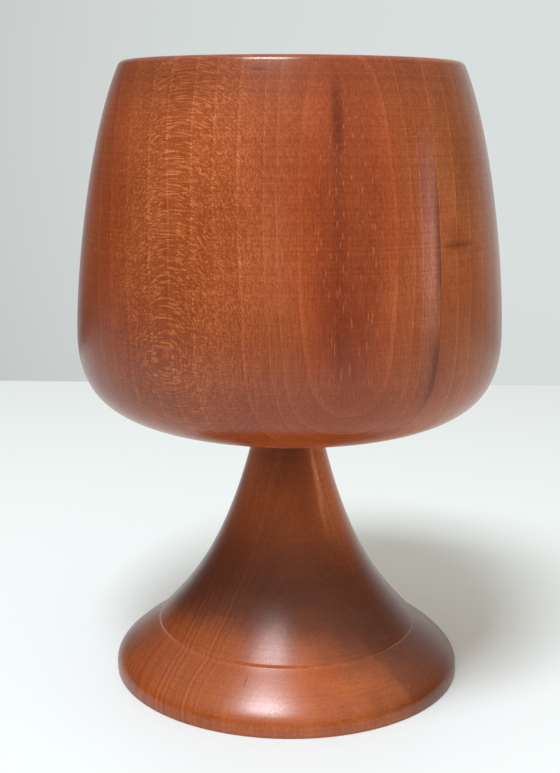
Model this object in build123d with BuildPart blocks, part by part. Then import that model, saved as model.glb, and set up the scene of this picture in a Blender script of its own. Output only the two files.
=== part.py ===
from build123d import *
import os
from math import cos, radians, sin

# Communion chalice turned in wood, in millimetres. +Z is up, and the origin is
# the centre of the foot, on the plane it stands on.
#
# It is two turned pieces. The bowl is hollowed from one block. The stem and the
# foot are one more piece, with a tenon on top that is glued into the bowl's base.
# Each profile is drawn in the XZ plane, X being the radius, and turned about Z.

# Heights
CHALICE_HEIGHT = 180.0
BELLY_HEIGHT = 103.6       # where the bowl is widest
SEAT_HEIGHT = 76.4         # where the bowl sits on the stem
SHOULDER_HEIGHT = 14.8     # widest point of the stem's flare, just above the foot
FOOT_TOP_HEIGHT = 14.5     # inner corner between the flare's shoulder and the foot

# Radii
MOUTH_RADIUS = 48.1
BELLY_RADIUS = 61.6
NECK_RADIUS = 9.4          # top of the stem
SHOULDER_RADIUS = 39.0
FOOT_RADIUS = 52.0

# Bowl, outside: how the wall leans in to the mouth, and how full its curves are
MOUTH_LEAN = radians(24.3)
MOUTH_REACH = 23.2         # how far the wall keeps the lean of the mouth
BELLY_REACH_UP = 14.7      # how far it stays upright above the belly
BELLY_REACH_DOWN = 24.7    # and below it
UNDERSIDE_REACH = 32.5     # how far the underside runs level from the seat
SEAT_RADIUS = 9.6          # flat on the underside that meets the stem

# Bowl, inside
LIP_THICKNESS = 3.4
WALL_THICKNESS = 4.4       # at the belly
FLOOR_THICKNESS = 10.2     # above the seat
FLOOR_REACH = 42.0         # how far the floor runs level from the axis
INNER_REACH_DOWN = 18.4    # how far the inside stays upright below the belly
LIP_OUTER_ROUND = 2.2
LIP_INNER_ROUND = 1.2

# Tenon and mortise
TENON_RADIUS = 6.5
TENON_LENGTH = 6.8
TENON_CHAMFER = 0.6
GLUE_GAP = 0.1             # round the tenon
GLUE_WELL = 0.5            # past the tenon's end
MORTISE_CHAMFER = 0.4

# Stem: lean and reach of the flare's curve at its two ends
NECK_LEAN = radians(12.1)
NECK_REACH = 40.5
FLARE_LEAN = radians(42.0)
FLARE_REACH = 12.1
SHOULDER_ROUND = 1.0

# Foot: slope of its top near the shoulder, how far it keeps it, and how far the
# edge stays upright above the base
FOOT_SLOPE = radians(34.5)
FOOT_REACH = 17.5
FOOT_EDGE_REACH = 4.2
CORNER_ROUND = 0.3         # in the corner under the shoulder
BASE_EASING = 0.5          # bottom edge

# Underside of the foot: a flat ring to stand on round a shallow dish
RING_WIDTH = 8.0
RING_STEP = 0.9
DISH_DEPTH = 3.6


def leaning(point, lean, reach):
    """The point at that reach up from a given one, leaning in towards the axis."""
    return (point[0] - reach * sin(lean), point[1] + reach * cos(lean))


# Bowl: outline from the mouth down the outside, then up the inside
mouth = (MOUTH_RADIUS, CHALICE_HEIGHT)
belly = (BELLY_RADIUS, BELLY_HEIGHT)
seat = (SEAT_RADIUS, SEAT_HEIGHT)
inner_mouth = (MOUTH_RADIUS - LIP_THICKNESS, CHALICE_HEIGHT)
inner_belly = (BELLY_RADIUS - WALL_THICKNESS, BELLY_HEIGHT)
floor_height = SEAT_HEIGHT + FLOOR_THICKNESS

with BuildPart() as bowl:
    with BuildSketch(Plane.XZ):
        with BuildLine():
            Bezier(
                mouth,
                leaning(mouth, MOUTH_LEAN, -MOUTH_REACH),
                (BELLY_RADIUS, BELLY_HEIGHT + BELLY_REACH_UP),
                belly,
            )
            Bezier(
                belly,
                (BELLY_RADIUS, BELLY_HEIGHT - BELLY_REACH_DOWN),
                (SEAT_RADIUS + UNDERSIDE_REACH, SEAT_HEIGHT),
                seat,
            )
            Line(seat, (0, SEAT_HEIGHT))
            Line((0, SEAT_HEIGHT), (0, floor_height))
            Bezier(
                (0, floor_height),
                (FLOOR_REACH, floor_height),
                (inner_belly[0], BELLY_HEIGHT - INNER_REACH_DOWN),
                inner_belly,
            )
            Bezier(
                inner_belly,
                (inner_belly[0], BELLY_HEIGHT + BELLY_REACH_UP),
                leaning(inner_mouth, MOUTH_LEAN, -MOUTH_REACH),
                inner_mouth,
            )
            Line(inner_mouth, mouth)
        make_face()
    revolve(axis=Axis.Z)
    lip_edges = bowl.edges().filter_by(GeomType.CIRCLE).group_by(Axis.Z)[-1].sort_by(SortBy.RADIUS)
    fillet(lip_edges[-1], radius=LIP_OUTER_ROUND)
    lip_edges = bowl.edges().filter_by(GeomType.CIRCLE).group_by(Axis.Z)[-1].sort_by(SortBy.RADIUS)
    fillet(lip_edges[0], radius=LIP_INNER_ROUND)

    # The mortise opens downwards, in the middle of the seat
    with Locations(Plane(origin=(0, 0, SEAT_HEIGHT), z_dir=(0, 0, -1))):
        Hole(radius=TENON_RADIUS + GLUE_GAP, depth=TENON_LENGTH + GLUE_WELL)
    mortise_mouth = bowl.edges().filter_by(GeomType.CIRCLE).group_by(Axis.Z)[0].sort_by(SortBy.RADIUS)[0]
    chamfer(mortise_mouth, length=MORTISE_CHAMFER)

# Stem and foot: outline from the tenon down the outside, then in under the foot
neck = (NECK_RADIUS, SEAT_HEIGHT)
shoulder = (SHOULDER_RADIUS, SHOULDER_HEIGHT)
foot_top = (SHOULDER_RADIUS, FOOT_TOP_HEIGHT)
foot_edge = (FOOT_RADIUS, 0)
ring_inner_radius = FOOT_RADIUS - RING_WIDTH
tenon_end = SEAT_HEIGHT + TENON_LENGTH

# The shoulder is an arc that starts where the flare's lean is reached
flare_end = (
    SHOULDER_RADIUS - SHOULDER_ROUND * (1 - cos(FLARE_LEAN)),
    SHOULDER_HEIGHT + SHOULDER_ROUND * sin(FLARE_LEAN),
)
shoulder_middle = (
    SHOULDER_RADIUS - SHOULDER_ROUND * (1 - cos(FLARE_LEAN / 2)),
    SHOULDER_HEIGHT + SHOULDER_ROUND * sin(FLARE_LEAN / 2),
)

with BuildPart() as stem_foot:
    with BuildSketch(Plane.XZ):
        with BuildLine():
            Line((0, tenon_end), (TENON_RADIUS, tenon_end))
            Line((TENON_RADIUS, tenon_end), (TENON_RADIUS, SEAT_HEIGHT))
            Line((TENON_RADIUS, SEAT_HEIGHT), neck)
            Bezier(
                neck,
                leaning(neck, NECK_LEAN, -NECK_REACH),
                leaning(flare_end, FLARE_LEAN, FLARE_REACH),
                flare_end,
            )
            ThreePointArc(flare_end, shoulder_middle, shoulder)
            Line(shoulder, foot_top)
            Bezier(
                foot_top,
                (
                    foot_top[0] + FOOT_REACH * cos(FOOT_SLOPE),
                    foot_top[1] - FOOT_REACH * sin(FOOT_SLOPE),
                ),
                (FOOT_RADIUS, FOOT_EDGE_REACH),
                foot_edge,
            )
            Line(foot_edge, (ring_inner_radius, 0))
            Line((ring_inner_radius, 0), (ring_inner_radius, RING_STEP))
            Bezier(
                (ring_inner_radius, RING_STEP),
                (ring_inner_radius / 2, DISH_DEPTH),
                (0, DISH_DEPTH),
            )
            Line((0, DISH_DEPTH), (0, tenon_end))
        make_face()
    revolve(axis=Axis.Z)
    circles = stem_foot.edges().filter_by(GeomType.CIRCLE)
    tenon_rim = circles.group_by(Axis.Z)[-1]
    chamfer(tenon_rim, length=TENON_CHAMFER)
    circles = stem_foot.edges().filter_by(GeomType.CIRCLE)
    base_edge = circles.group_by(Axis.Z)[0].sort_by(SortBy.RADIUS)[-1]
    fillet(base_edge, radius=BASE_EASING)
    circles = stem_foot.edges().filter_by(GeomType.CIRCLE)
    foot_corner = circles.filter_by_position(Axis.Z, FOOT_TOP_HEIGHT - 0.1, FOOT_TOP_HEIGHT + 0.1)
    fillet(foot_corner, radius=CORNER_ROUND)

bowl.part.label = "bowl"
stem_foot.part.label = "stem_foot"

os.makedirs("parts", exist_ok=True)
export_step(bowl.part, "parts/bowl.step")
export_step(stem_foot.part, "parts/stem_foot.step")
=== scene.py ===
"""Looks of a turned wooden communion chalice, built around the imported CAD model.

Two turned pieces stand for the two CAD nodes. Each is a lathe mesh with its own solid wood, so the
figure of the wood runs through the piece as it does in a block cut from one tree. Outlines are in
millimetres, as in the CAD source, and everything that is placed in Blender is in metres.

Azimuths are measured from the front of the chalice (-Y), positive towards +X.
"""

from math import cos, pi, radians, sin, tan

import bpy
from mathutils import Matrix, Vector
from mathutils.geometry import interpolate_bezier


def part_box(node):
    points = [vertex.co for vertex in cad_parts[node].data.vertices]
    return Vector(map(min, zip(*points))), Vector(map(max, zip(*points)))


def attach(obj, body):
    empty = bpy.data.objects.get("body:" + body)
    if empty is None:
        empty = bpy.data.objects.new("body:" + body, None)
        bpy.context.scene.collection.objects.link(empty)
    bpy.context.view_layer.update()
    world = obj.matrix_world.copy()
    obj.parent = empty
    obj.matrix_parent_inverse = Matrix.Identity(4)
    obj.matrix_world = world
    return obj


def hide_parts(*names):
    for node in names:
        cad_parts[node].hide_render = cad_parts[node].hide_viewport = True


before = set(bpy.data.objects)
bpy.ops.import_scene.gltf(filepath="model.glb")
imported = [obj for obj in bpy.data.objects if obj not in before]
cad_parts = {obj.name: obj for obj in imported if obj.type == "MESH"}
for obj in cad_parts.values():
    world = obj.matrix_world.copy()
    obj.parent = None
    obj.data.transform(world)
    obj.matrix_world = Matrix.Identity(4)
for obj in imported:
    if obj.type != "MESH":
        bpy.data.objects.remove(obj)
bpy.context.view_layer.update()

MM = 0.001
SAME_POINT = 1e-6          # points of an outline closer than this are one point

# Outline of the bowl
CHALICE_HEIGHT = 180.0
BELLY_HEIGHT = 103.6
SEAT_HEIGHT = 76.4
MOUTH_RADIUS = 48.1
BELLY_RADIUS = 61.6
MOUTH_LEAN = radians(24.3)
MOUTH_REACH = 23.2
BELLY_REACH_UP = 14.7
BELLY_REACH_DOWN = 24.7
UNDERSIDE_REACH = 32.5
SEAT_RADIUS = 9.6
LIP_THICKNESS = 3.4
WALL_THICKNESS = 4.4
FLOOR_THICKNESS = 10.2
FLOOR_REACH = 42.0
INNER_REACH_DOWN = 18.4
LIP_OUTER_ROUND = 2.2
LIP_INNER_ROUND = 1.2

# Tenon and mortise
TENON_RADIUS = 6.5
TENON_LENGTH = 6.8
TENON_CHAMFER = 0.6
GLUE_GAP = 0.1
GLUE_WELL = 0.5
MORTISE_CHAMFER = 0.4

# Outline of the stem and foot
NECK_RADIUS = 9.4
NECK_LEAN = radians(12.1)
NECK_REACH = 40.5
FLARE_LEAN = radians(42.0)
FLARE_REACH = 12.1
SHOULDER_RADIUS = 39.0
SHOULDER_HEIGHT = 14.8
SHOULDER_ROUND = 1.0
FOOT_TOP_HEIGHT = 14.5
FOOT_RADIUS = 52.0
FOOT_SLOPE = radians(34.5)
FOOT_REACH = 17.5
FOOT_EDGE_REACH = 4.2
CORNER_ROUND = 0.3
BASE_EASING = 0.5
RING_WIDTH = 8.0
RING_STEP = 0.9
DISH_DEPTH = 3.6

# Mesh
SEGMENTS = 256             # round the axis, an even number for the two halves of the bake map
CURVE_POINTS = 44          # on a long curve of an outline
ARC_STEPS = 7              # on a rounded edge
SHARP_ANGLE = radians(34)
UV_GAP = 0.004             # between strips of the bake map
INSIDE_POINTS = 2 * CURVE_POINTS - 2   # of the bowl's outline, from the floor up to the lip
TENON_POINTS = 4           # of the stem's outline, from its top down to the neck

# Camera
CAMERA_PLACE = (0.0, -0.36326, 0.16455)
CAMERA_PITCH = radians(12.109)
CAMERA_YAW = radians(1.027)
CAMERA_ROLL = radians(0.279)
CAMERA_LENS = 58.215       # millimetres, for a sensor 36 mm on its long side
CAMERA_SHIFT = 0.01746
CAMERA_NEAREST = 0.01      # anything closer isn't drawn

# Table and light
TABLE_BACK = 0.414         # from the axis of the chalice to the far edge
TABLE_FRONT = 1.5
TABLE_SIDE = 1.5
TABLE_COLOUR = (0.90, 0.91, 0.88)
TABLE_ROUGHNESS = 0.55
ROOM_COLOUR = (0.08, 0.075, 0.07)
ROOM_SIDES = (             # where each pale side of the room lies, how it fades in, and its colour
    ((0.2, 1, 0), (0.55, 1.1), (0.735, 0.78, 0.77)),        # the wall behind
    ((0, 0, 1), (0.2, 0.9), (0.72, 0.72, 0.66)),            # the ceiling
)
LAMP_AZIMUTH = radians(-23.5)
LAMP_ELEVATION = radians(67.2)
LAMP_DISTANCE = 1.2
LAMP_SIZE = (0.36, 0.26)
LAMP_COLOUR = (0.8, 0.89, 1.0)
LAMP_POWER = 11.2

# All wood, in millimetres. Both blocks have upright grain. A noise is given by the size of its
# cells, across the grain twice and along it, and by its detail. A span is the two values between
# which something fades in, and a tint multiplies a colour.
NOISE_SPAN = (0.3, 0.7)                # nearly all values of a noise lie in this
RING_REACH = 180.0                     # from the pith to the last growth ring that is drawn
RING_WANDER = 0.6                      # how far growth rings stray from true circles
WANDER_NOISE = ((16.7, 16.7, 66.7), 5.0)
WANDER_SPAN = (0.25, 0.75)
RING_TINTS = (                         # across one growth ring, from its edge nearer the pith
    (0.0, (0.91, 0.88, 0.86)),
    (0.12, (0.96, 0.95, 0.95)),
    (0.5, (1.0, 1.0, 1.0)),
    (0.86, (1.03, 1.05, 1.07)),
    (0.93, (1.18, 1.30, 1.45)),
)
CONTRAST_NOISE = ((12.5, 12.5, 20), 2.0)       # where growth rings are plain or faint
CONTRAST_SPAN = (0.3, 0.55)
FIBRE_NOISE = ((0.4, 0.4, 8.33), 3.0)
TICK_NOISE = ((0.25, 0.25, 0.625), 1.0)
BLOTCH_NOISE = ((14.3, 14.3, 33.3), 2.0)
TURNING_NOISE = ((0.625, 0.625, 0.625), 3.0)   # in the plane of the radius and the height
FIBRE_SHADE = 0.10                     # how much lighter or darker each of them makes the wood
TICK_SHADE = 0.12
BLOTCH_SHADE = 0.08
TURNING_SHADE = 0.06
SHADE_DEPTH = (1.0, 1.6, 2.3)          # how much of that shade red, green and blue each show
VESSEL_CELL = (1.0, 1.0, 9.0)
VESSEL_SPAN = (0.16, 0.08)
VESSEL_TINT = (0.8, 0.76, 0.76)
VESSEL_ROUGHNESS = 0.08                # how much rougher a vessel is
FIBRE_ROUGHNESS = 0.03                 # how much rougher or smoother a fibre is
ALONG_OUTLINE = 0.25                   # a highlight is stretched a quarter turn from the tangent
RELIEF_STRENGTH = 0.5
RELIEF_DEPTH = 0.02
MARK_CORE = 0.2                        # share of a mark's reach within which it is full

# Bowl's wood
BOWL_FIGURE = {
    "pith_azimuth": radians(14.2),
    "pith_distance": 77.7,     # from the axis, at the height of the belly
    "pith_lean": 0.139,
    "ring_edges": (            # distances from the pith
        12, 20.3, 24.8, 27.4, 33.3, 40, 46, 53, 59, 67,
        74, 80, 89, 96, 104, 111, 119, 126, 134, 142,
    ),
    "tones": (                 # from the pith outwards
        (16, (0.34, 0.061, 0.017)),
        (18, (0.42, 0.077, 0.020)),
        (20.5, (0.44, 0.089, 0.024)),
        (24, (0.45, 0.100, 0.030)),
        (33, (0.45, 0.099, 0.026)),
        (46, (0.43, 0.095, 0.023)),
        (58, (0.38, 0.084, 0.021)),
        (72, (0.37, 0.074, 0.018)),
        (140, (0.36, 0.071, 0.017)),
    ),
    "roughness": 0.24,
    "specular": 0.45,
    "ring_contrast": (0.3, 0.95),      # least and greatest along one growth ring
    "brushed": 0.25,           # how far the turning marks stretch a highlight along the outline
}
RAY_AZIMUTH = radians(-30.5)           # the rays of the bowl lie flat in its surface here
RAY_SHEET_NOISE = ((6, 0.045, 1.6), 0.0)
RAY_SHEET_SPAN = (0.46, 0.56)
RAY_BREAK_NOISE = ((5, 0.19, 0.45), 0.0)
RAY_BREAK_SPAN = (0.42, 0.56)
RAY_ZONE = (0.84, 0.965)               # cosines of the angle from there where flecks fade in
RAY_LADDER = (0.965, 0.995, 0.72, 1.0)         # and where they grow to full strength, and from what
RAY_TINT = (1.36, 1.62, 1.9)
RAY_GROUND_TINT = (0.86, 0.78, 0.70)
RIM_HEIGHTS = (163.0, 178.0)           # the bowl darkens between these
RIM_TINT = (0.71, 0.68, 0.66)
LOW_HEIGHTS = ((130, 104), (77, 83))   # and darkens again between these
LOW_TINT = (0.79, 0.69, 0.50)
RIGHT_SIDE = (4, 12)                   # how far right of the pith that side's own figure fades in
PALE_VESSEL_CELL = (0.8, 0.8, 11.0)
PALE_VESSEL_SPAN = (0.24, 0.14)
PALE_VESSEL_RINGS = (19.0, 15.0)       # distances from the pith
PALE_VESSEL_TINT = (1.6, 2.3, 3.2)
OUTER_RINGS = (32.6, 33.4)
OUTER_TINT = (1.17, 1.36, 1.65)
PINK_RINGS = ((25.0, 30.0), (32.8, 32.3))
PINK_TINT = (1.28, 1.98, 4.1)
GUM_RINGS = ((30.0, 32.3), (33.4, 32.8))
GUM_TINT = (0.52, 0.46, 0.52)

# Marks: azimuth in degrees, height, reach round in degrees and up, and tint
PINK_ZONE = (38.0, 128.0, (30, 43))
GUM_MARKS = (
    (39.5, 134.0, (12, 24)),
    (37.5, 101.0, (12, 13)),
)
# Marks in the bowl's wood and finish, and painted shade on its left side
BOWL_MARKS_AND_PAINTED_SHADE = (
    (12.4, 165.0, (2.4, 13), (0.66, 0.60, 0.66)),          # dark streak
    (11.8, 140.0, (2.6, 50), (0.84, 0.82, 0.86)),          # its faint tail
    (47.0, 133.0, (9.0, 1.5), (0.64, 0.58, 0.62)),         # small knot
    (45.0, 135.0, (5.5, 6.0), (0.88, 0.84, 0.86)),         # shade round the knot
    (36.5, 148.0, (3.5, 16), (0.90, 0.86, 1.05)),          # purple shade beside the gum
    (54.0, 158.0, (28, 32), (0.82, 0.86, 0.84)),           # darker right side
    (-74.0, 128.0, (34, 76), (0.80, 0.74, 0.60)),          # painted shade on the darker left side
    (37.0, 102.0, (6.0, 14), (0.84, 0.78, 0.80)),          # shade round the lower gum
    (25.0, 128.0, (13, 60), (1.10, 1.20, 1.36)),           # paler right of the streak
    (20.5, 141.0, (1.3, 0.35), (0.62, 0.56, 0.60)),        # short dash
    (-9.5, 176.4, (3.4, 0.4), (0.60, 0.50, 0.45)),         # scratch near the lip
)

# Stem's wood
STEM_FIGURE = {
    "pith_azimuth": radians(11.8),
    "pith_distance": 52.5,
    "pith_lean": 0.139,
    "ring_edges": (
        35.7, 39.8, 47.8, 51, 54.5, 58, 62, 66.8, 71, 76, 82, 88, 95, 102, 110, 118,
    ),
    "tones": (
        (14, (0.47, 0.101, 0.022)),
        (30, (0.45, 0.095, 0.017)),
        (37, (0.41, 0.081, 0.012)),
        (50, (0.37, 0.070, 0.009)),
        (70, (0.33, 0.061, 0.008)),
        (120, (0.33, 0.060, 0.008)),
    ),
    "roughness": 0.30,
    "specular": 0.60,
    "ring_contrast": (0.0, 0.45),
    "brushed": 0.3,
}
# Painted shadow of the bowl on the stem and flare: above a dome round the shoulder the stem is
# tinted, dark low down and lighter at the neck
SHADOW_DOME_CENTRE = (-4.6, -9.9, -33.3)     # the bowl's shadow is painted on the stem outside a sphere round this
SHADOW_DOME_RADIUS = 60.7
SHADOW_DOME_EDGE = (-3.5, 2.0)               # the painted shadow fades in from inside the sphere to outside it
SHADOW_DOME_NOISE = ((6.67, 6.67, 6.67), 2.0)
SHADOW_DOME_UNEVENNESS = 0.7
PAINTED_SHADOW_FADE = (32.0, 54.0)              # heights between which the painted shadow changes to the neck's tint
PAINTED_SHADOW_TINT = (0.48, 0.45, 0.38)
NECK_TINT = (1.06, 1.22, 1.8)
STREAK_NOISE = ((1, 1, 250), 2.0)
STREAK_SPAN = (0.35, 0.62)
STREAK_TINTS = ((0.80, 0.76, 0.72), (1.14, 1.20, 1.26))
STREAK_RINGS = (30, 46, 0.1, 1.0)      # distances from the pith, and the streaks' strength there
STREAK_HEIGHTS = (44, 26, 0.25, 1.0)   # heights, and their strength there
PALE_SHOULDER_HEIGHTS = ((FOOT_TOP_HEIGHT - 0.6, FOOT_TOP_HEIGHT),
                (SHOULDER_HEIGHT + 0.9, SHOULDER_HEIGHT + 0.2))
PALE_SHOULDER_TINT = (1.22, 1.27, 1.36)         # the wood is paler along the shoulder
# Some marks on the stem are painted light and shade: a painted highlight, painted light on the
# right side, painted shade on the right of the foot and the bowl's painted shadow on the neck
STEM_MARKS_AND_PAINTED_LIGHT = (
    (70.0, 54.0, (54, 32), (1.95, 2.45, 3.6)),             # painted light on the right side
    (39.5, 62.0, (6.0, 24), (1.36, 1.8, 2.8)),             # painted highlight, a pale streak
    (34.0, 17.0, (32, 8), (0.74, 0.72, 0.72)),             # painted shade on the right of the foot
    (-10.0, 79.0, (75, 26), (0.42, 0.43, 0.50)),           # painted shadow of the bowl on the neck
    (-80.0, 7.0, (18, 14), (0.82, 0.88, 0.88)),            # darker left of the foot
    (-15.1, 11.7, (0.5, 1.6), (0.4, 0.4, 0.45)),           # nick
)

# Sockets of the node that mixes two colours
MIX_FACTOR, MIX_FIRST, MIX_SECOND = 0, 6, 7
MIX_RESULT = 2


# ---------------------------------------------------------------- outlines

def leaning(point, lean, reach):
    """The point at that reach up from a given one, leaning in towards the axis."""
    return Vector((point[0] - reach * sin(lean), point[1] + reach * cos(lean)))


def curve(start, start_handle, end_handle, end, count=CURVE_POINTS):
    """Points along one cubic curve of an outline, both ends included."""
    ends = [Vector(p) for p in (start, start_handle, end_handle, end)]
    return [p.to_2d() for p in interpolate_bezier(*[e.to_3d() for e in ends], count)]


def joined(*runs):
    """One outline from several runs of points; a point that repeats the last one is left out."""
    points = []
    for run in runs:
        for point in run:
            point = Vector(point)
            if not points or (point - points[-1]).length > SAME_POINT:
                points.append(point)
    return points


def rounded(points, corner, radius):
    """The outline with an arc of that radius in place of one of its corners."""
    corner = Vector(corner)
    index = min(range(len(points)), key=lambda i: (points[i] - corner).length)
    back = (points[index - 1] - corner).normalized()
    ahead = (points[index + 1] - corner).normalized()
    half_angle = back.angle(ahead) / 2
    cut = radius / tan(half_angle)
    centre = corner + (back + ahead).normalized() * radius / sin(half_angle)
    first = (corner + back * cut - centre).normalized()
    last = (corner + ahead * cut - centre).normalized()
    arc = [centre + radius * first.slerp(last, i / ARC_STEPS) for i in range(ARC_STEPS + 1)]
    before = [p for p in points[:index] if (p - corner).length > cut]
    after = [p for p in points[index + 1:] if (p - corner).length > cut]
    return before + arc + after


def bowl_outline():
    """From the floor of the bowl, over the lip and down the outside, to the end of the mortise."""
    mouth = Vector((MOUTH_RADIUS, CHALICE_HEIGHT))
    belly = Vector((BELLY_RADIUS, BELLY_HEIGHT))
    seat = Vector((SEAT_RADIUS, SEAT_HEIGHT))
    inner_mouth = mouth - Vector((LIP_THICKNESS, 0))
    inner_belly = belly - Vector((WALL_THICKNESS, 0))
    floor = Vector((0, SEAT_HEIGHT + FLOOR_THICKNESS))
    mortise_radius = TENON_RADIUS + GLUE_GAP
    mortise_end = SEAT_HEIGHT + TENON_LENGTH + GLUE_WELL
    points = joined(
        curve(floor, floor + Vector((FLOOR_REACH, 0)),
              inner_belly - Vector((0, INNER_REACH_DOWN)), inner_belly),
        curve(inner_belly, inner_belly + Vector((0, BELLY_REACH_UP)),
              leaning(inner_mouth, MOUTH_LEAN, -MOUTH_REACH), inner_mouth),
        curve(mouth, leaning(mouth, MOUTH_LEAN, -MOUTH_REACH),
              belly + Vector((0, BELLY_REACH_UP)), belly),
        curve(belly, belly - Vector((0, BELLY_REACH_DOWN)),
              seat + Vector((UNDERSIDE_REACH, 0)), seat),
        [
            (mortise_radius + MORTISE_CHAMFER, SEAT_HEIGHT),
            (mortise_radius, SEAT_HEIGHT + MORTISE_CHAMFER),
            (mortise_radius, mortise_end),
            (0, mortise_end),
        ],
    )
    points = rounded(points, inner_mouth, LIP_INNER_ROUND)
    return rounded(points, mouth, LIP_OUTER_ROUND)


def stem_foot_outline():
    """From the tenon down the outside, then in under the foot."""
    neck = Vector((NECK_RADIUS, SEAT_HEIGHT))
    shoulder_centre = Vector((SHOULDER_RADIUS - SHOULDER_ROUND, SHOULDER_HEIGHT))
    shoulder = [
        shoulder_centre + SHOULDER_ROUND * Vector((cos(a), sin(a)))
        for a in [FLARE_LEAN * (1 - i / ARC_STEPS) for i in range(ARC_STEPS + 1)]
    ]
    foot_top = Vector((SHOULDER_RADIUS, FOOT_TOP_HEIGHT))
    foot_edge = Vector((FOOT_RADIUS, 0))
    tenon_end = SEAT_HEIGHT + TENON_LENGTH
    ring_inner_radius = FOOT_RADIUS - RING_WIDTH
    dish_edge = Vector((ring_inner_radius, RING_STEP))
    dish_centre = Vector((0, DISH_DEPTH))
    dish_handle = Vector((ring_inner_radius / 2, DISH_DEPTH))
    points = joined(
        [
            (0, tenon_end),
            (TENON_RADIUS - TENON_CHAMFER, tenon_end),
            (TENON_RADIUS, tenon_end - TENON_CHAMFER),
            (TENON_RADIUS, SEAT_HEIGHT),
        ],
        curve(neck, leaning(neck, NECK_LEAN, -NECK_REACH),
              leaning(shoulder[0], FLARE_LEAN, FLARE_REACH), shoulder[0]),
        shoulder,
        curve(foot_top, foot_top + FOOT_REACH * Vector((cos(FOOT_SLOPE), -sin(FOOT_SLOPE))),
              foot_edge + Vector((0, FOOT_EDGE_REACH)), foot_edge, CURVE_POINTS // 2),
        [(ring_inner_radius, 0)],
        curve(dish_edge, dish_edge.lerp(dish_handle, 2 / 3),
              dish_centre.lerp(dish_handle, 2 / 3), dish_centre, CURVE_POINTS // 2),
    )
    points = rounded(points, foot_top, CORNER_ROUND)
    return rounded(points, foot_edge, BASE_EASING)


# ---------------------------------------------------------------- meshes

def lathe(name, node, outline, strip_ends):
    """A closed turned mesh that stands for a CAD node.

    The outline runs from pole to pole. strip_ends are the outline's indices where the bake map
    starts a new strip; each strip is laid out twice, for the front and back halves of the piece.
    """
    low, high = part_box(node)
    half_width = min(high.x, high.y, -low.x, -low.y)
    scale = half_width / (max(p.x for p in outline) * MM)
    rings = len(outline) - 2
    around = [-pi / 2 + 2 * pi * k / SEGMENTS for k in range(SEGMENTS)]
    vertices = [(0, 0, outline[0].y * MM)]
    for point in outline[1:-1]:
        radius = point.x * MM * scale
        vertices += [(radius * sin(a), -radius * cos(a), point.y * MM) for a in around]
    vertices.append((0, 0, outline[-1].y * MM))

    def vertex(ring, k):
        if ring == 0:
            return 0
        if ring == rings + 1:
            return len(vertices) - 1
        return 1 + (ring - 1) * SEGMENTS + k % SEGMENTS

    height_in_map = strip_heights(outline, strip_ends)
    faces, uvs = [], []
    for ring in range(rings + 1):
        for k in range(SEGMENTS):
            corners = [(ring, k), (ring + 1, k), (ring + 1, k + 1), (ring, k + 1)]
            if ring == 0:
                corners.pop()
            if ring == rings:
                corners.pop(2)
            faces.append([vertex(*c) for c in corners])
            half, start = divmod(k, SEGMENTS // 2)
            for corner_ring, corner_k in corners:
                across = (start + corner_k - k) / (SEGMENTS // 2)
                up = height_in_map[ring][corner_ring - ring]
                uvs.append((across, (half + up) / 2))

    mesh = bpy.data.meshes.new(name)
    mesh.from_pydata(vertices, [], faces)
    layer = mesh.uv_layers.new(name="OFBake")
    for loop, uv in zip(layer.data, uvs):
        loop.uv = uv
    mesh.shade_smooth()
    mesh.set_sharp_from_angle(angle=SHARP_ANGLE)
    piece = bpy.data.objects.new(name, mesh)
    bpy.context.scene.collection.objects.link(piece)
    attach(piece, "root")
    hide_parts(node)
    return piece


def strip_heights(outline, strip_ends):
    """For each step of the outline, where its two ends are up the bake map, from 0 to 1."""
    steps = [(b - a).length for a, b in zip(outline, outline[1:])]
    bounds = [0, *strip_ends, len(steps)]
    usable = 1 - UV_GAP * (len(bounds) - 1)
    scale = usable / sum(steps)
    at, heights = 0.0, []
    for first, last in zip(bounds, bounds[1:]):
        for step in steps[first:last]:
            heights.append((at, at + step * scale))
            at += step * scale
        at += UV_GAP
    return heights


# ---------------------------------------------------------------- wood

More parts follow.
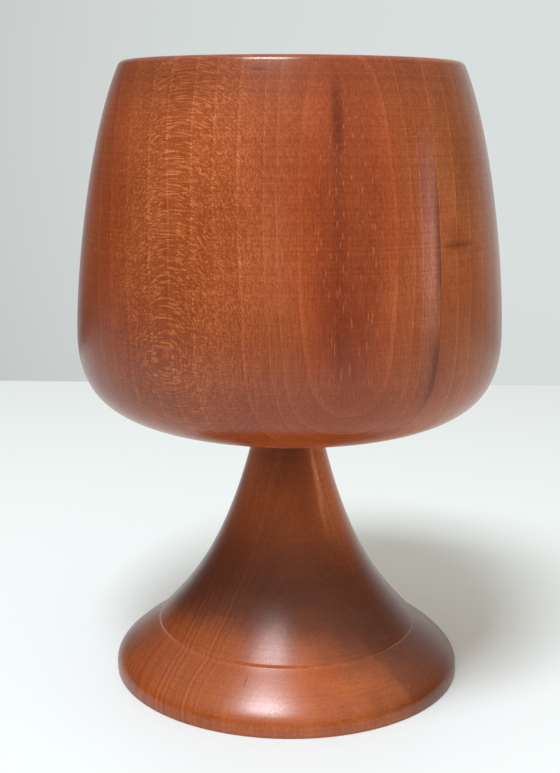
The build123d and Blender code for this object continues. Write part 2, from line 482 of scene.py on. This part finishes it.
class Recipe:
    """A tree of shader nodes. Most methods add one node and return its result."""

    def __init__(self, tree):
        self.tree = tree

    def feed(self, socket, value):
        if isinstance(value, bpy.types.NodeSocket):
            self.tree.links.new(value, socket)
        else:
            socket.default_value = value

    def node(self, kind, settings, inputs):
        made = self.tree.nodes.new("ShaderNode" + kind)
        for name, value in settings.items():
            setattr(made, name, value)
        for name, value in inputs.items():
            self.feed(made.inputs[name], value)
        return made

    def math(self, operation, *values):
        return self.node("Math", {"operation": operation}, dict(enumerate(values))).outputs[0]

    def vector(self, operation, *values):
        made = self.node("VectorMath", {"operation": operation}, dict(enumerate(values)))
        is_number = operation in ("LENGTH", "DOT_PRODUCT")
        return made.outputs["Value" if is_number else "Vector"]

    def split(self, vector):
        return self.node("SeparateXYZ", {}, {"Vector": vector}).outputs[:]

    def combined(self, **parts):
        return self.node("CombineXYZ", {}, parts).outputs[0]

    def turned(self, place, azimuth):
        """The same place, in axes where that azimuth is the front."""
        inputs = {"Vector": place, "Angle": -azimuth}
        return self.node("VectorRotate", {"rotation_type": "Z_AXIS"}, inputs).outputs[0]

    def between(self, value, start, end, start_value=0.0, end_value=1.0):
        """A smooth step from one value to another as the given one goes from start to end."""
        inputs = {"Value": value, "From Min": start, "From Max": end,
                  "To Min": start_value, "To Max": end_value}
        settings = {"interpolation_type": "SMOOTHSTEP"}
        return self.node("MapRange", settings, inputs).outputs["Result"]

    def band(self, value, rise, fall):
        """1 between two spans, fading to 0 across each of them."""
        return self.math("MULTIPLY", self.between(value, *rise), self.between(value, *fall))

    def noise(self, place, cell, detail):
        inputs = {"Vector": self.vector("DIVIDE", place, cell), "Scale": 1.0, "Detail": detail}
        return self.node("TexNoise", {}, inputs).outputs["Fac"]

    def specks(self, place, cell, span):
        """1 in the middle of each of many cells that are strewn about."""
        inputs = {"Vector": self.vector("DIVIDE", place, cell), "Scale": 1.0}
        distance = self.node("TexVoronoi", {}, inputs).outputs["Distance"]
        return self.between(distance, *span)

    def ramp(self, value, stops):
        made = self.node("ValToRGB", {}, {"Fac": value})
        elements = made.color_ramp.elements
        elements.remove(elements[1])
        for index, (position, colour) in enumerate(stops):
            element = elements[0] if index == 0 else elements.new(position)
            element.position = position
            element.color = (*colour, 1)
        return made.outputs["Color"]

    def mix(self, factor, first, second):
        made = self.node("Mix", {"data_type": "RGBA"}, {MIX_FACTOR: factor})
        for socket, colour in ((MIX_FIRST, first), (MIX_SECOND, second)):
            is_link = isinstance(colour, bpy.types.NodeSocket)
            self.feed(made.inputs[socket], colour if is_link else (*colour, 1))
        return made.outputs[MIX_RESULT]

    def tinted(self, colour, tint, where):
        """The colour, and the tinted colour where that value is 1."""
        return self.mix(where, colour, self.vector("MULTIPLY", colour, tint))


def new_material(name):
    """A material, the recipe for its nodes, and the inputs of its surface."""
    material = bpy.data.materials.new(name)
    material.use_nodes = True
    recipe = Recipe(material.node_tree)
    return material, recipe, recipe.tree.nodes["Principled BSDF"].inputs


def plain(name, colour, roughness):
    """A material of one colour."""
    material, recipe, surface = new_material(name)
    recipe.feed(surface["Base Color"], (*colour, 1))
    recipe.feed(surface["Roughness"], roughness)
    return material


def wood(name, figure, details):
    """Solid wood: growth rings round a pith outside the block, fibres and vessels.

    details is the function that adds what is peculiar to one block.
    """
    material, recipe, surface = new_material(name)
    metres = recipe.node("TexCoord", {}, {}).outputs["Object"]
    place = recipe.vector("DIVIDE", metres, (MM, MM, MM))
    from_pith = distance_from_pith(recipe, place, figure)
    fibres = recipe.noise(place, *FIBRE_NOISE)
    turning = turning_marks(recipe, place)
    vessel = recipe.specks(place, VESSEL_CELL, VESSEL_SPAN)

    colour = ring_colour(recipe, place, from_pith, figure)
    colour = recipe.vector("MULTIPLY", colour, fine_shade(recipe, place, fibres, turning))
    colour = recipe.tinted(colour, VESSEL_TINT, vessel)
    recipe.feed(surface["Base Color"], details(recipe, place, from_pith, colour))

    roughness = recipe.between(fibres, *NOISE_SPAN, figure["roughness"] + FIBRE_ROUGHNESS,
                               figure["roughness"] - FIBRE_ROUGHNESS)
    vessel_roughness = recipe.math("MULTIPLY", vessel, VESSEL_ROUGHNESS)
    recipe.feed(surface["Roughness"], recipe.math("ADD", roughness, vessel_roughness))
    recipe.feed(surface["Specular IOR Level"], figure["specular"])
    recipe.feed(surface["Anisotropic"], figure["brushed"])
    recipe.feed(surface["Anisotropic Rotation"], ALONG_OUTLINE)
    tangent = recipe.node("Tangent", {"direction_type": "RADIAL", "axis": "Z"}, {})
    recipe.feed(surface["Tangent"], tangent.outputs[0])

    relief = recipe.math("SUBTRACT", recipe.math("ADD", fibres, turning), vessel)
    relief = {"Height": relief, "Strength": RELIEF_STRENGTH, "Distance": RELIEF_DEPTH * MM}
    recipe.feed(surface["Normal"], recipe.node("Bump", {}, relief).outputs["Normal"])
    return material


def distance_from_pith(recipe, place, figure):
    """How far a place is from the pith, which leans and lies outside the block."""
    wander = recipe.noise(place, *WANDER_NOISE)
    wander = recipe.between(wander, *WANDER_SPAN, -RING_WANDER, RING_WANDER)
    beside, before, height = recipe.split(recipe.turned(place, figure["pith_azimuth"]))
    above_belly = recipe.math("SUBTRACT", height, BELLY_HEIGHT)
    lean = recipe.math("MULTIPLY", above_belly, figure["pith_lean"])
    outward = recipe.math("SUBTRACT", recipe.math("ADD", before, figure["pith_distance"]), lean)
    straight = recipe.vector("LENGTH", recipe.combined(X=beside, Y=outward))
    return recipe.math("ADD", straight, wander)


def ring_colour(recipe, place, from_pith, figure):
    """The wood's tone and its growth rings."""
    share = recipe.math("DIVIDE", from_pith, RING_REACH)
    tones = [(distance / RING_REACH, tone) for distance, tone in figure["tones"]]
    ring = ring_number(recipe, share, figure["ring_edges"])
    tint = recipe.ramp(recipe.math("FRACT", ring), RING_TINTS)
    contrast = recipe.noise(place, *CONTRAST_NOISE)
    contrast = recipe.between(contrast, *CONTRAST_SPAN, *figure["ring_contrast"])
    tint = recipe.mix(contrast, (1, 1, 1), tint)
    return recipe.vector("MULTIPLY", recipe.ramp(share, tones), tint)


def ring_number(recipe, share, edges):
    """How many growth rings lie between the pith and a place, with its fraction of the last.

    share is the place's distance from the pith as a share of the reach of the rings.
    """
    curve_node = recipe.node("FloatCurve", {}, {"Value": share})
    points = curve_node.mapping.curves[0].points
    for count, edge in enumerate(edges, 1):
        points.new(edge / RING_REACH, count / (len(edges) + 1))
    for point in points:
        point.handle_type = "VECTOR"
    curve_node.mapping.update()
    return recipe.math("MULTIPLY", curve_node.outputs["Value"], len(edges) + 1)


def fine_shade(recipe, place, fibres, turning):
    """How much lighter or darker the fine patterns make each colour."""
    patterns = (
        (fibres, FIBRE_SHADE),
        (recipe.noise(place, *TICK_NOISE), TICK_SHADE),
        (turning, TURNING_SHADE),
        (recipe.noise(place, *BLOTCH_NOISE), BLOTCH_SHADE),
    )
    shade = 1.0
    for pattern, depth in patterns:
        part = recipe.between(pattern, *NOISE_SPAN, 1 - depth, 1 + depth)
        shade = recipe.math("MULTIPLY", shade, part)
    return recipe.vector("MULTIPLY_ADD", shade, SHADE_DEPTH, [1 - d for d in SHADE_DEPTH])


def turning_marks(recipe, place):
    """Fine rings that the tool and the sandpaper left round the axis."""
    section = recipe.combined(X=from_axis(recipe, place), Z=recipe.split(place)[2])
    return recipe.noise(section, *TURNING_NOISE)


def from_axis(recipe, place):
    """How far a place is from the axis of the lathe."""
    return recipe.vector("LENGTH", recipe.vector("MULTIPLY", place, (1, 1, 0)))


def mark(recipe, place, azimuth, height, reach):
    """1 at a spot on the piece, fading to 0 at its reach round the axis and up."""
    across, behind, up = recipe.split(recipe.turned(place, radians(azimuth)))
    front = recipe.math("MULTIPLY", behind, -1.0)
    round_axis = recipe.math("ARCTAN2", across, front)
    offset = recipe.combined(
        X=recipe.math("DIVIDE", round_axis, radians(reach[0])),
        Z=recipe.math("DIVIDE", recipe.math("SUBTRACT", up, height), reach[1]),
    )
    return recipe.between(recipe.vector("LENGTH", offset), 1.0, MARK_CORE)


def marked(recipe, place, colour, marks):
    for azimuth, height, reach, tint in marks:
        colour = recipe.tinted(colour, tint, mark(recipe, place, azimuth, height, reach))
    return colour


def stem_details(recipe, place, from_pith, colour):
    """The bowl's painted shadow over the stem, the marks, some of them painted light and shade, the
    streaks and the paler shoulder of this block.
    """
    height = recipe.split(place)[2]
    # Painted shadow of the bowl: above a dome round the shoulder the stem takes a dark tint low
    # down and the neck's lighter tint higher up
    unevenness = recipe.noise(place, *SHADOW_DOME_NOISE)
    unevenness = recipe.between(unevenness, *NOISE_SPAN, -SHADOW_DOME_UNEVENNESS, SHADOW_DOME_UNEVENNESS)
    from_centre = recipe.vector("LENGTH", recipe.vector("SUBTRACT", place, SHADOW_DOME_CENTRE))
    from_centre = recipe.math("ADD", from_centre, unevenness)
    under_bowl = recipe.between(from_centre, *[SHADOW_DOME_RADIUS + offset for offset in SHADOW_DOME_EDGE])
    tint = recipe.mix(recipe.between(height, *PAINTED_SHADOW_FADE), PAINTED_SHADOW_TINT, NECK_TINT)
    colour = recipe.tinted(colour, tint, under_bowl)
    colour = marked(recipe, place, colour, STEM_MARKS_AND_PAINTED_LIGHT)

    layers = recipe.noise(recipe.combined(X=from_pith, Z=height), *STREAK_NOISE)
    streaks = recipe.mix(recipe.between(layers, *STREAK_SPAN), *STREAK_TINTS)
    strength = recipe.math("MULTIPLY", recipe.between(from_pith, *STREAK_RINGS),
                           recipe.between(height, *STREAK_HEIGHTS))
    streaks = recipe.mix(strength, (1, 1, 1), streaks)
    colour = recipe.vector("MULTIPLY", colour, streaks)
    return recipe.tinted(colour, PALE_SHOULDER_TINT, recipe.band(height, *PALE_SHOULDER_HEIGHTS))


def ray_flecks(recipe, place, colour):
    """Thin upright sheets of pale rays, broken up along the grain, seen where they lie flat."""
    turned = recipe.turned(place, RAY_AZIMUTH)
    cosine = recipe.math("DIVIDE", recipe.split(turned)[1], from_axis(recipe, place))
    facing = recipe.math("ABSOLUTE", cosine)
    sheets = recipe.between(recipe.noise(turned, *RAY_SHEET_NOISE), *RAY_SHEET_SPAN)
    breaks = recipe.between(recipe.noise(turned, *RAY_BREAK_NOISE), *RAY_BREAK_SPAN)
    ray = recipe.math("MULTIPLY", sheets, breaks)
    ray = recipe.math("MULTIPLY", ray, recipe.between(facing, *RAY_LADDER))
    ground = recipe.vector("MULTIPLY", colour, RAY_GROUND_TINT)
    flecked = recipe.mix(ray, ground, recipe.vector("MULTIPLY", colour, RAY_TINT))
    return recipe.mix(recipe.between(facing, *RAY_ZONE), colour, flecked)


def bowl_details(recipe, place, from_pith, colour):
    """The rays, the darker rim and base and, on the right, what is peculiar to this block."""
    height = recipe.split(place)[2]
    beside_pith = recipe.split(recipe.turned(place, BOWL_FIGURE["pith_azimuth"]))[0]
    right = recipe.between(beside_pith, *RIGHT_SIDE)
    colour = ray_flecks(recipe, place, colour)
    colour = recipe.tinted(colour, RIM_TINT, recipe.between(height, *RIM_HEIGHTS))
    colour = recipe.tinted(colour, LOW_TINT, recipe.band(height, *LOW_HEIGHTS))

    pale = recipe.specks(place, PALE_VESSEL_CELL, PALE_VESSEL_SPAN)
    pale = recipe.math("MULTIPLY", pale, recipe.between(from_pith, *PALE_VESSEL_RINGS))
    colour = recipe.tinted(colour, PALE_VESSEL_TINT, pale)

    outer = recipe.math("MULTIPLY", right, recipe.between(from_pith, *OUTER_RINGS))
    colour = recipe.tinted(colour, OUTER_TINT, outer)
    pink = recipe.math("MULTIPLY", right, recipe.band(from_pith, *PINK_RINGS))
    pink = recipe.math("MULTIPLY", pink, mark(recipe, place, *PINK_ZONE))
    colour = recipe.tinted(colour, PINK_TINT, pink)
    gum_line = recipe.band(from_pith, *GUM_RINGS)
    for gum in GUM_MARKS:
        spot = recipe.math("MULTIPLY", mark(recipe, place, *gum), gum_line)
        colour = recipe.tinted(colour, GUM_TINT, spot)
    return marked(recipe, place, colour, BOWL_MARKS_AND_PAINTED_SHADE)


# ---------------------------------------------------------------- camera, table, light

def make_camera():
    data = bpy.data.cameras.new("camera")
    data.lens = CAMERA_LENS
    data.shift_x = CAMERA_SHIFT
    data.clip_start = CAMERA_NEAREST
    camera = bpy.data.objects.new("camera", data)
    bpy.context.scene.collection.objects.link(camera)
    camera.matrix_world = (
        Matrix.Translation(CAMERA_PLACE)
        @ Matrix.Rotation(CAMERA_YAW, 4, "Z")
        @ Matrix.Rotation(pi / 2 - CAMERA_PITCH, 4, "X")
        @ Matrix.Rotation(CAMERA_ROLL, 4, "Z")
    )
    bpy.context.scene.camera = camera


def make_table():
    mesh = bpy.data.meshes.new("table")
    corners = [(-TABLE_SIDE, -TABLE_FRONT, 0), (TABLE_SIDE, -TABLE_FRONT, 0),
               (TABLE_SIDE, TABLE_BACK, 0), (-TABLE_SIDE, TABLE_BACK, 0)]
    mesh.from_pydata(corners, [], [(0, 1, 2, 3)])
    table = bpy.data.objects.new("table", mesh)
    bpy.context.scene.collection.objects.link(table)
    mesh.materials.append(plain("table_top", TABLE_COLOUR, TABLE_ROUGHNESS))


def make_lamp():
    """The soft light above and in front, which casts the shadow on the table."""
    level = cos(LAMP_ELEVATION)
    outward = Vector((sin(LAMP_AZIMUTH) * level, -cos(LAMP_AZIMUTH) * level, sin(LAMP_ELEVATION)))
    data = bpy.data.lights.new("lamp", "AREA")
    data.shape = "RECTANGLE"
    data.size, data.size_y = LAMP_SIZE
    data.energy = LAMP_POWER
    data.color = LAMP_COLOUR
    lamp = bpy.data.objects.new("lamp", data)
    bpy.context.scene.collection.objects.link(lamp)
    lamp.location = outward * LAMP_DISTANCE
    lamp.rotation_mode = "QUATERNION"
    lamp.rotation_quaternion = outward.to_track_quat("Z", "Y")


def make_world():
    """A dim room with a pale wall behind the chalice and a pale ceiling."""
    world = bpy.data.worlds.new("studio")
    bpy.context.scene.world = world
    world.use_nodes = True
    recipe = Recipe(world.node_tree)
    direction = recipe.node("TexCoord", {}, {}).outputs["Generated"]
    colour = ROOM_COLOUR
    for side, span, lit in ROOM_SIDES:
        facing = recipe.vector("DOT_PRODUCT", direction, side)
        colour = recipe.mix(recipe.between(facing, *span), colour, lit)
    recipe.feed(recipe.tree.nodes["Background"].inputs["Color"], colour)
    bpy.context.scene.view_settings.view_transform = "Standard"


make_camera()
make_table()
make_lamp()
make_world()

bowl = lathe("bowl_turned", "bowl", bowl_outline(), [INSIDE_POINTS])
stem = lathe("stem_foot_turned", "stem_foot", stem_foot_outline(), [TENON_POINTS])
bowl.data.materials.append(wood("bowl_wood", BOWL_FIGURE, bowl_details))
stem.data.materials.append(wood("stem_wood", STEM_FIGURE, stem_details))
